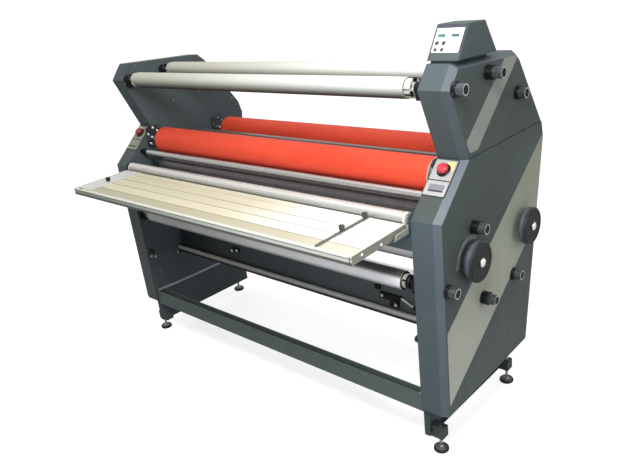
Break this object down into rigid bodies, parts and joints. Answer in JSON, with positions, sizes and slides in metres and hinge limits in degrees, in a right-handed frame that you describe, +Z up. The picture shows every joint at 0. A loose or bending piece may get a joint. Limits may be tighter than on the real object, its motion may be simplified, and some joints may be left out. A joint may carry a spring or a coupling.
{
  "type": "roll laminator",
  "caption": "Wide-format roller press for laminating and dry mounting, with silicone pressure rollers, film shafts, feed table, handwheels, brake knobs and a control box.",
  "frame": {"origin": "on the floor, under the middle of the bounding box", "axes": "+X along the rollers towards the control-box cabinet, +Y from the feed table towards the outfeed side, +Z up"},
  "size_m": [2.102, 1.19, 1.673],
  "materials": {
    "case_paint": "satin dark grey-green powder coat",
    "plate_paint": "satin near-black powder coat",
    "beam_paint": "satin dark grey powder coat",
    "silicone_red": "matte orange-red silicone",
    "roller_dark": "dark ground and lacquered steel",
    "core_steel": "turned steel",
    "tube_aluminium": "satin anodised",
    "shaft_steel": "turned steel with slotted chucks",
    "bar_chrome": "bright plated bar",
    "holder_black": "black",
    "bearing_steel": "dark cast",
    "plank_cream": "cream laminated planks",
    "table_aluminium": "satin extrusion",
    "guide_dark": "dark grey",
    "guide_light": "light satin sheet",
    "knob_black": "black",
    "knob_grey": "knurled, dull grey",
    "wheel_black": "black",
    "box_paint": "satin dark grey powder coat",
    "panel_white": "white membrane with teal displays and dark keys",
    "switch_silver": "brushed plate",
    "stop_red": "red",
    "jog_grey": "light grey",
    "screw_zinc": "zinc plated",
    "chain_steel": "oiled",
    "motor_paint": "grey",
    "foot_dark": "dark with steel screw"
  },
  "bodies": {
    "frame": {"side_plate_right": "plate_paint", "side_plate_left": "plate_paint", "lower_cover_right": "case_paint", "lower_cover_left": "case_paint", "head_cover_right": "case_paint", "head_cover_left": "case_paint", "control_box": "box_paint", "control_panel": "panel_white", "switch_plates": "switch_silver", "front_beam": "beam_paint", "apron_channel": "beam_paint", "lower_guard": "plate_paint", "table_brackets": "plate_paint", "film_holders": "holder_black", "knob_collars": "knob_black", "roller_bearings": "bearing_steel", "tie_bars": "bar_chrome", "drive_motor": "motor_paint", "drive_chain": "chain_steel", "cap_screws": "screw_zinc"},
    "film_roll_front": {"film_tube_front": "tube_aluminium", "film_shaft_front": "shaft_steel"},
    "film_roll_top": {"film_tube_top": "tube_aluminium", "film_shaft_top": "shaft_steel"},
    "lower_film_roller_front": {"lower_film_roller_front": "tube_aluminium"},
    "lower_film_roller_middle": {"lower_film_roller_middle": "tube_aluminium"},
    "lower_film_roller_rear": {"lower_film_roller_rear": "tube_aluminium"},
    "idler_roller": {"idler_roller": "tube_aluminium"},
    "nip_carriage_front": {"nip_blocks_front": "bearing_steel"},
    "nip_carriage_rear": {"nip_blocks_rear": "bearing_steel"},
    "top_roller_front": {"top_roller_front_core": "core_steel", "top_roller_front_sleeve": "silicone_red"},
    "top_roller_rear": {"top_roller_rear_core": "core_steel", "top_roller_rear_sleeve": "silicone_red"},
    "lower_roller_front": {"lower_roller_front": "roller_dark"},
    "lower_roller_rear": {"lower_roller_rear": "roller_dark"},
    "handwheel_front": {"handwheel_front": "wheel_black"},
    "handwheel_rear": {"handwheel_rear": "wheel_black"},
    "table": {"table_planks": "plank_cream", "table_frame": "table_aluminium"},
    "side_guide_right": {"side_guide_right": "guide_dark"},
    "side_guide_left": {"side_guide_left": "guide_light"},
    "film_brake_knob_front": {"film_brake_knob_front": "knob_grey"},
    "film_brake_knob_top": {"film_brake_knob_top": "knob_grey"},
    "rewind_knob": {"rewind_knob": "knob_grey"},
    "pressure_knob": {"pressure_knob": "knob_grey"},
    "lower_brake_knob_front": {"lower_brake_knob_front": "knob_grey"},
    "lower_brake_knob_middle": {"lower_brake_knob_middle": "knob_grey"},
    "lower_brake_knob_rear": {"lower_brake_knob_rear": "knob_grey"},
    "guide_screw_front": {"guide_screw_front": "knob_black"},
    "guide_screw_rear": {"guide_screw_rear": "knob_black"},
    "guide_screw_left": {"guide_screw_left": "knob_black"},
    "estop_button_right": {"estop_button_right": "stop_red"},
    "estop_button_left": {"estop_button_left": "stop_red"},
    "jog_button_right": {"jog_button_right": "jog_grey"},
    "jog_button_left": {"jog_button_left": "jog_grey"},
    "foot_front_right": {"foot_front_right": "foot_dark"},
    "foot_rear_right": {"foot_rear_right": "foot_dark"},
    "foot_front_left": {"foot_front_left": "foot_dark"},
    "foot_rear_left": {"foot_rear_left": "foot_dark"}
  },
  "joints": [
    {"name": "film_roll_front_spin", "type": "hinge", "parent": "frame", "child": "film_roll_front", "pos_m": [-0.032, -0.149, 1.477], "axis": [1, 0, 0], "continuous": true},
    {"name": "film_roll_top_spin", "type": "hinge", "parent": "frame", "child": "film_roll_top", "pos_m": [-0.032, 0.077, 1.491], "axis": [1, 0, 0], "continuous": true},
    {"name": "lower_film_roller_front_spin", "type": "hinge", "parent": "frame", "child": "lower_film_roller_front", "pos_m": [-0.032, -0.239, 0.77], "axis": [1, 0, 0], "continuous": true},
    {"name": "lower_film_roller_middle_spin", "type": "hinge", "parent": "frame", "child": "lower_film_roller_middle", "pos_m": [-0.032, 0.024, 0.623], "axis": [1, 0, 0], "continuous": true},
    {"name": "lower_film_roller_rear_spin", "type": "hinge", "parent": "frame", "child": "lower_film_roller_rear", "pos_m": [-0.032, 0.286, 0.613], "axis": [1, 0, 0], "continuous": true},
    {"name": "idler_roller_spin", "type": "hinge", "parent": "frame", "child": "idler_roller", "pos_m": [-0.032, -0.249, 1.028], "axis": [1, 0, 0], "continuous": true},
    {"name": "lower_roller_front_spin", "type": "hinge", "parent": "frame", "child": "lower_roller_front", "pos_m": [-0.032, -0.071, 1.005], "axis": [1, 0, 0], "continuous": true},
    {"name": "lower_roller_rear_spin", "type": "hinge", "parent": "frame", "child": "lower_roller_rear", "pos_m": [-0.032, 0.382, 0.956], "axis": [1, 0, 0], "continuous": true},
    {"name": "handwheel_front_turn", "type": "hinge", "parent": "frame", "child": "handwheel_front", "pos_m": [0.968, -0.078, 0.829], "axis": [1, 0, 0], "range_deg": [0, 720]},
    {"name": "nip_lift_front", "type": "slide", "parent": "frame", "child": "nip_carriage_front", "axis": [0, 0, 1], "range_m": [0, 0.03]},
    {"name": "top_roller_front_spin", "type": "hinge", "parent": "nip_carriage_front", "child": "top_roller_front", "pos_m": [-0.032, -0.071, 1.143], "axis": [1, 0, 0], "continuous": true},
    {"name": "handwheel_rear_turn", "type": "hinge", "parent": "frame", "child": "handwheel_rear", "pos_m": [0.968, 0.359, 0.811], "axis": [1, 0, 0], "range_deg": [0, 720]},
    {"name": "nip_lift_rear", "type": "slide", "parent": "frame", "child": "nip_carriage_rear", "axis": [0, 0, 1], "range_m": [0, 0.03]},
    {"name": "top_roller_rear_spin", "type": "hinge", "parent": "nip_carriage_rear", "child": "top_roller_rear", "pos_m": [-0.032, 0.382, 1.094], "axis": [1, 0, 0], "continuous": true},
    {"name": "film_brake_front_turn", "type": "hinge", "parent": "frame", "child": "film_brake_knob_front", "pos_m": [0.987, -0.149, 1.477], "axis": [1, 0, 0], "range_deg": [0, 360]},
    {"name": "film_brake_top_turn", "type": "hinge", "parent": "frame", "child": "film_brake_knob_top", "pos_m": [0.987, 0.077, 1.491], "axis": [1, 0, 0], "range_deg": [0, 360]},
    {"name": "rewind_turn", "type": "hinge", "parent": "frame", "child": "rewind_knob", "pos_m": [0.987, 0.314, 1.371], "axis": [1, 0, 0], "range_deg": [0, 360]},
    {"name": "pressure_turn", "type": "hinge", "parent": "frame", "child": "pressure_knob", "pos_m": [0.987, -0.044, 0.949], "axis": [1, 0, 0], "range_deg": [0, 360]},
    {"name": "lower_brake_front_turn", "type": "hinge", "parent": "frame", "child": "lower_brake_knob_front", "pos_m": [0.987, -0.239, 0.77], "axis": [1, 0, 0], "range_deg": [0, 360]},
    {"name": "lower_brake_middle_turn", "type": "hinge", "parent": "frame", "child": "lower_brake_knob_middle", "pos_m": [0.987, 0.024, 0.623], "axis": [1, 0, 0], "range_deg": [0, 360]},
    {"name": "lower_brake_rear_turn", "type": "hinge", "parent": "frame", "child": "lower_brake_knob_rear", "pos_m": [0.987, 0.286, 0.613], "axis": [1, 0, 0], "range_deg": [0, 360]},
    {"name": "table_hinge", "type": "hinge", "parent": "frame", "child": "table", "pos_m": [-0.032, -0.341, 1], "axis": [-1, 0, 0], "range_deg": [0, 80]},
    {"name": "guide_right_slide", "type": "slide", "parent": "table", "child": "side_guide_right", "axis": [1, 0, 0], "range_m": [-0.6, 0.1]},
    {"name": "guide_left_slide", "type": "slide", "parent": "table", "child": "side_guide_left", "axis": [1, 0, 0], "range_m": [0, 0.5]},
    {"name": "guide_screw_front_turn", "type": "hinge", "parent": "side_guide_right", "child": "guide_screw_front", "pos_m": [0.695, -0.443, 1.04], "axis": [0, 0, 1], "range_deg": [0, 360]},
    {"name": "guide_screw_rear_turn", "type": "hinge", "parent": "side_guide_right", "child": "guide_screw_rear", "pos_m": [0.695, -0.309, 1.04], "axis": [0, 0, 1], "range_deg": [0, 360]},
    {"name": "guide_screw_left_turn", "type": "hinge", "parent": "side_guide_left", "child": "guide_screw_left", "pos_m": [-0.822, -0.455, 1.04], "axis": [0, 0, 1], "range_deg": [0, 360]},
    {"name": "estop_press_right", "type": "slide", "parent": "frame", "child": "estop_button_right", "axis": [0, 0.6658, -0.7461], "range_m": [0, 0.005], "stiffness_N_per_m": 900, "springref_m": -0.001},
    {"name": "jog_press_right", "type": "slide", "parent": "frame", "child": "jog_button_right", "axis": [0, 0.6658, -0.7461], "range_m": [0, 0.003], "stiffness_N_per_m": 900, "springref_m": -0.001},
    {"name": "estop_press_left", "type": "slide", "parent": "frame", "child": "estop_button_left", "axis": [0, 0.6658, -0.7461], "range_m": [0, 0.005], "stiffness_N_per_m": 900, "springref_m": -0.001},
    {"name": "jog_press_left", "type": "slide", "parent": "frame", "child": "jog_button_left", "axis": [0, 0.6658, -0.7461], "range_m": [0, 0.003], "stiffness_N_per_m": 900, "springref_m": -0.001},
    {"name": "foot_front_right_level", "type": "slide", "parent": "frame", "child": "foot_front_right", "axis": [0, 0, 1], "range_m": [-0.02, 0]},
    {"name": "foot_rear_right_level", "type": "slide", "parent": "frame", "child": "foot_rear_right", "axis": [0, 0, 1], "range_m": [-0.02, 0]},
    {"name": "foot_front_left_level", "type": "slide", "parent": "frame", "child": "foot_front_left", "axis": [0, 0, 1], "range_m": [-0.02, 0]},
    {"name": "foot_rear_left_level", "type": "slide", "parent": "frame", "child": "foot_rear_left", "axis": [0, 0, 1], "range_m": [-0.02, 0]}
  ],
  "couplings": [
    {"joint": "lower_roller_rear_spin", "follows": "lower_roller_front_spin", "ratio": 1},
    {"joint": "top_roller_front_spin", "follows": "lower_roller_front_spin", "ratio": -1},
    {"joint": "top_roller_rear_spin", "follows": "lower_roller_front_spin", "ratio": -1},
    {"joint": "handwheel_front_turn", "follows": "nip_lift_front", "rad_per_m": 418.87},
    {"joint": "handwheel_rear_turn", "follows": "nip_lift_rear", "rad_per_m": 418.87}
  ]
}
